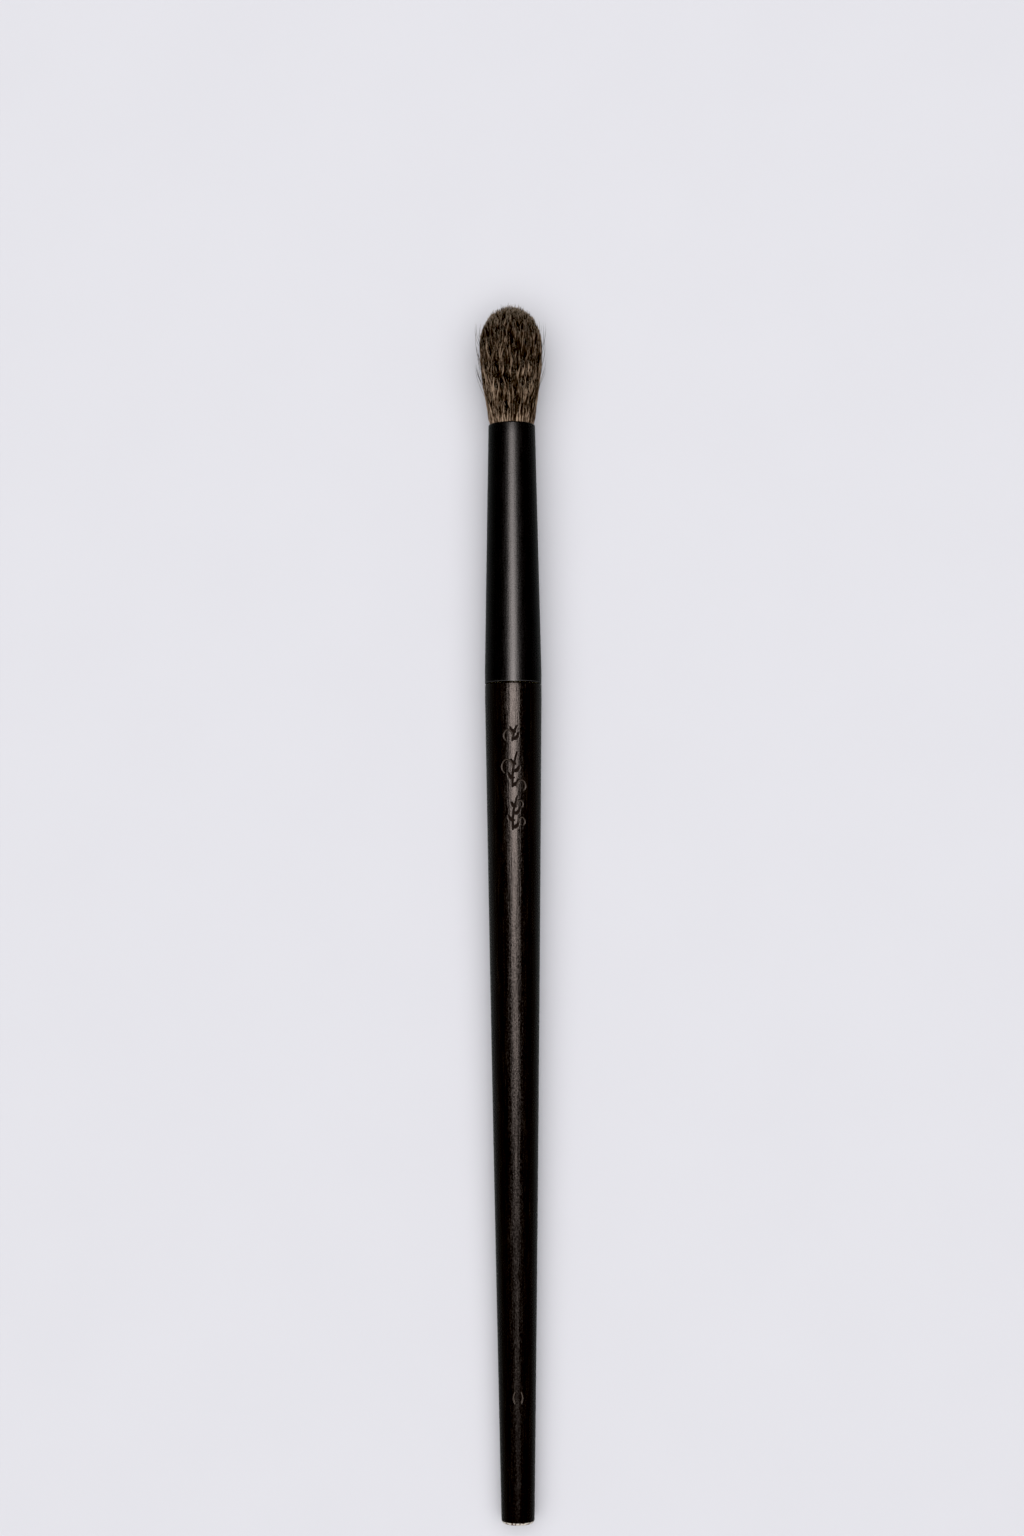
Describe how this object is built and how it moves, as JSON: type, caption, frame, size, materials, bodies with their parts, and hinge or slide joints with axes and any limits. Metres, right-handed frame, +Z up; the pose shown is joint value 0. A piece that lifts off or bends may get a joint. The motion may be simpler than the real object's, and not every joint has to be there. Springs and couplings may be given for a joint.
{
  "type": "makeup brush",
  "caption": "Round domed hair brush on a slim tapered handle, with a tapered metal ferrule and a tuft that bends.",
  "frame": {"origin": "centre of the flat face at the handle's butt end", "axes": "+Y along the brush from the butt to the tip of the hair, +Z up off the table that the brush lies on, +X to the right with the tip pointing away"},
  "size_m": [0.0092, 0.175, 0.0092],
  "materials": {
    "lacquered_ebony": "dark ebony under satin lacquer, grain just showing",
    "black_anodised_metal": "satin black anodised aluminium",
    "glue": "set wood glue, cream coloured",
    "resin": "set amber epoxy resin",
    "thread": "waxed cotton thread",
    "hair": "fine natural hair, mixed brown and tan"
  },
  "bodies": {
    "handle_body": {"handle": "lacquered_ebony", "tenon_glue": "glue", "ferrule": "black_anodised_metal", "root_resin": "resin", "binding_thread": "thread", "hair_root": "hair"},
    "tuft": {"hair_tuft": "hair"}
  },
  "joints": [
    {"name": "tuft_bend", "type": "hinge", "parent": "handle_body", "child": "tuft", "pos_m": [0, 0.1605, 0], "axis": [0, 0, 1], "range_deg": [-30, 30], "stiffness_Nm_per_rad": 0.002}
  ]
}
